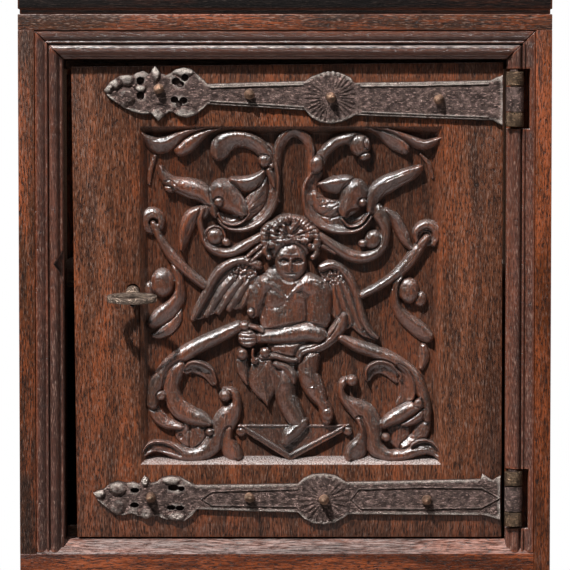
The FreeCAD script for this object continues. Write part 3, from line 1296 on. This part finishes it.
def carved_relief():
    """The main forms of the carving, cut from the door's own wood and standing on the sunk ground."""
    forms = []
    for rows in UPPER_SCROLLS + CROWN_LEAVES + FLOWER_STEMS + LOWER_SCROLLS:
        forms.append(ribbon(rows, RELIEF_HEIGHT))
    for rows in WING_ROWS + BODY_ROWS:
        forms.append(ribbon(rows, HEAD_RISE))
    for x, y, radius, height in BOSSES:
        forms.append(boss(x, y, radius, height))
    plinth = [(carved_x(x), carved_z(y)) for x, y in PLINTH_CORNERS]
    forms.append(prism_along_y(plinth, GROUND - RELIEF_LOW, GROUND))
    return fused(forms).cut(door_board())


def parts():
    """Every piece by its name."""
    pieces = {}
    for side_y, depth_name in ((-1, "front"), (1, "rear")):
        for side_x, side_name in ((-1, "left"), (1, "right")):
            pieces["stand_post_%s_%s" % (depth_name, side_name)] = stand_post(side_x, side_y)
    for level, (z0, z1) in STAND_RAILS.items():
        pieces["stand_%s_rail_front" % level] = stand_rail("x", -1, z0, z1)
        pieces["stand_%s_rail_rear" % level] = stand_rail("x", 1, z0, z1)
        pieces["stand_%s_rail_left" % level] = stand_rail("y", -1, z0, z1)
        pieces["stand_%s_rail_right" % level] = stand_rail("y", 1, z0, z1)
    pieces["stand_shelf"] = stand_shelf()
    pieces["stand_pegs"] = Part.Compound(stand_pegs(0))
    pieces["waist_board"] = edged_board(WAIST_OVERHANG, WAIST_BOTTOM, BODY_BOTTOM, WAIST_EDGE_RADIUS)
    pieces["front_stile_left"] = left_stile().cut(strike_mortise())
    pieces["front_stile_right"] = right_stile()
    pieces["front_top_rail"] = front_top_rail()
    pieces["front_bottom_rail"] = front_bottom_rail()
    pieces["moulding_left"] = left_moulding()
    pieces["moulding_right"] = right_moulding()
    pieces["moulding_top"] = top_moulding()
    for side, side_name in ((-1, "left"), (1, "right")):
        pieces["rear_post_%s" % side_name] = rear_post(side)
        pieces["side_top_rail_%s" % side_name] = side_rail(side, "top")
        pieces["side_bottom_rail_%s" % side_name] = side_rail(side, "bottom")
        pieces["side_panel_%s" % side_name] = side_panel(side)
        pieces["cornice_%s" % side_name] = cornice_side(side)
    pieces["shelf_bearers"] = Part.Compound([shelf_bearer(-1), shelf_bearer(1)])
    pieces["inner_shelf"] = inner_shelf()
    pieces["rear_bottom_rail"] = rear_rail(BODY_BOTTOM, BODY_BOTTOM + REAR_RAIL_HEIGHT)
    pieces["rear_top_rail"] = rear_rail(CORNICE_TOP - REAR_RAIL_HEIGHT, CORNICE_TOP)
    pieces["back_boards"] = back_boards()
    pieces["cornice_front"] = cornice_front()
    pieces["top_board"] = edged_board(TOP_OVERHANG, CORNICE_TOP, TOTAL_HEIGHT, TOP_EDGE_RADIUS)
    pieces["door_stops"] = door_stops()
    pieces["door_board"] = door_board()
    pieces["carved_relief"] = carved_relief()
    pieces["door_batten_upper"] = door_batten(UPPER_HINGE_Z)
    pieces["door_batten_lower"] = door_batten(LOWER_HINGE_Z)
    pieces["strap_hinge_upper"] = strap(UPPER_STRAP, UPPER_PIERCINGS, UPPER_ROSETTE, UPPER_HINGE_Z)
    pieces["strap_hinge_lower"] = strap(LOWER_STRAP, LOWER_PIERCINGS, LOWER_ROSETTE, LOWER_HINGE_Z)
    pieces["hinge_eye_upper"] = hinge_eye(UPPER_HINGE_Z)
    pieces["hinge_eye_lower"] = hinge_eye(LOWER_HINGE_Z)
    pieces["hinge_pin_upper"] = hinge_pin(UPPER_HINGE_Z)
    pieces["hinge_pin_lower"] = hinge_pin(LOWER_HINGE_Z)
    pieces["domed_nails"] = domed_nails()
    pieces["lock_plate"] = lock_plate()
    pieces["lock_cap"] = lock_cap()
    pieces["bolt_guide"] = bolt_guide()
    pieces["lock_bolt"] = lock_bolt()
    pieces["bolt_spring"] = bolt_spring()
    pieces["key"] = key()
    return pieces


def main():
    os.makedirs("parts", exist_ok=True)
    for name, shape in parts().items():
        shape.exportStep("parts/%s.step" % name)


main()
